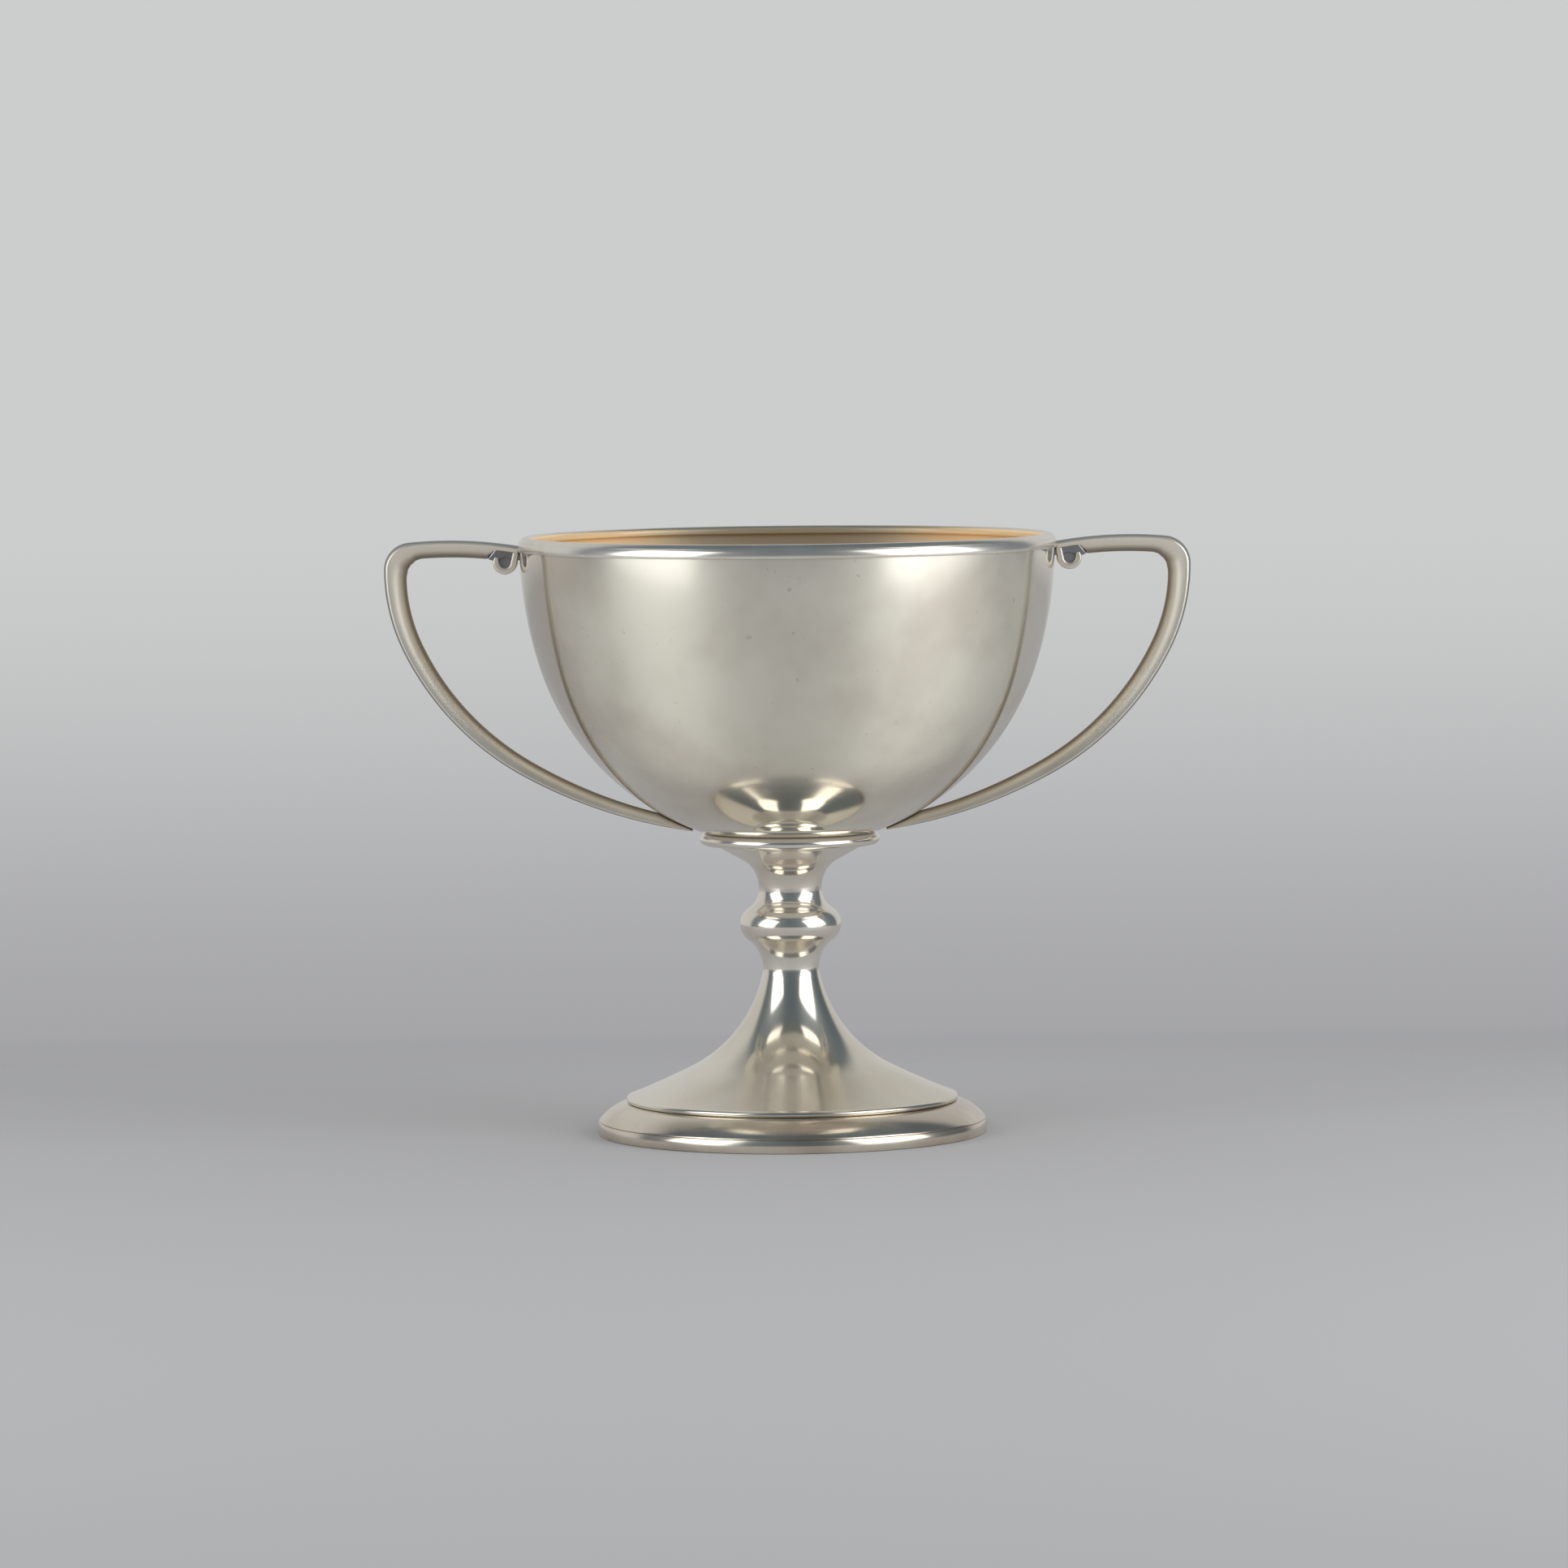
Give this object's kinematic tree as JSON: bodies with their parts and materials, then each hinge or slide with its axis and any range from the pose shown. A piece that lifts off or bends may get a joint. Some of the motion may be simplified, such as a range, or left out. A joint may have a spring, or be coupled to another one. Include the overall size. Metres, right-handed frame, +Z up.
{
  "type": "loving cup",
  "caption": "Footed loving cup of polished silver: round gilt-lined bowl with a banded rim, scroll-ended side handles, ring-knopped stem and stepped trumpet foot.",
  "frame": {"origin": "middle of the base underside, on the plane the cup stands on", "axes": "+X towards the right handle as seen in the picture, +Y away from the viewer, +Z up the cup's axis"},
  "size_m": [0.2122, 0.1418, 0.1579],
  "materials": {
    "silver": null,
    "fixing_steel": "plain turned steel"
  },
  "bodies": {
    "root": {"bowl": "silver", "rim_wire": "silver", "collar": "silver", "knop": "silver", "foot": "silver", "base_band": "silver", "base_wire": "silver", "left_handle": "silver", "right_handle": "silver", "left_scroll": "silver", "right_scroll": "silver", "bowl_boss": "fixing_steel", "tie_rod": "fixing_steel", "washer": "fixing_steel", "nut": "fixing_steel"}
  },
  "joints": []
}
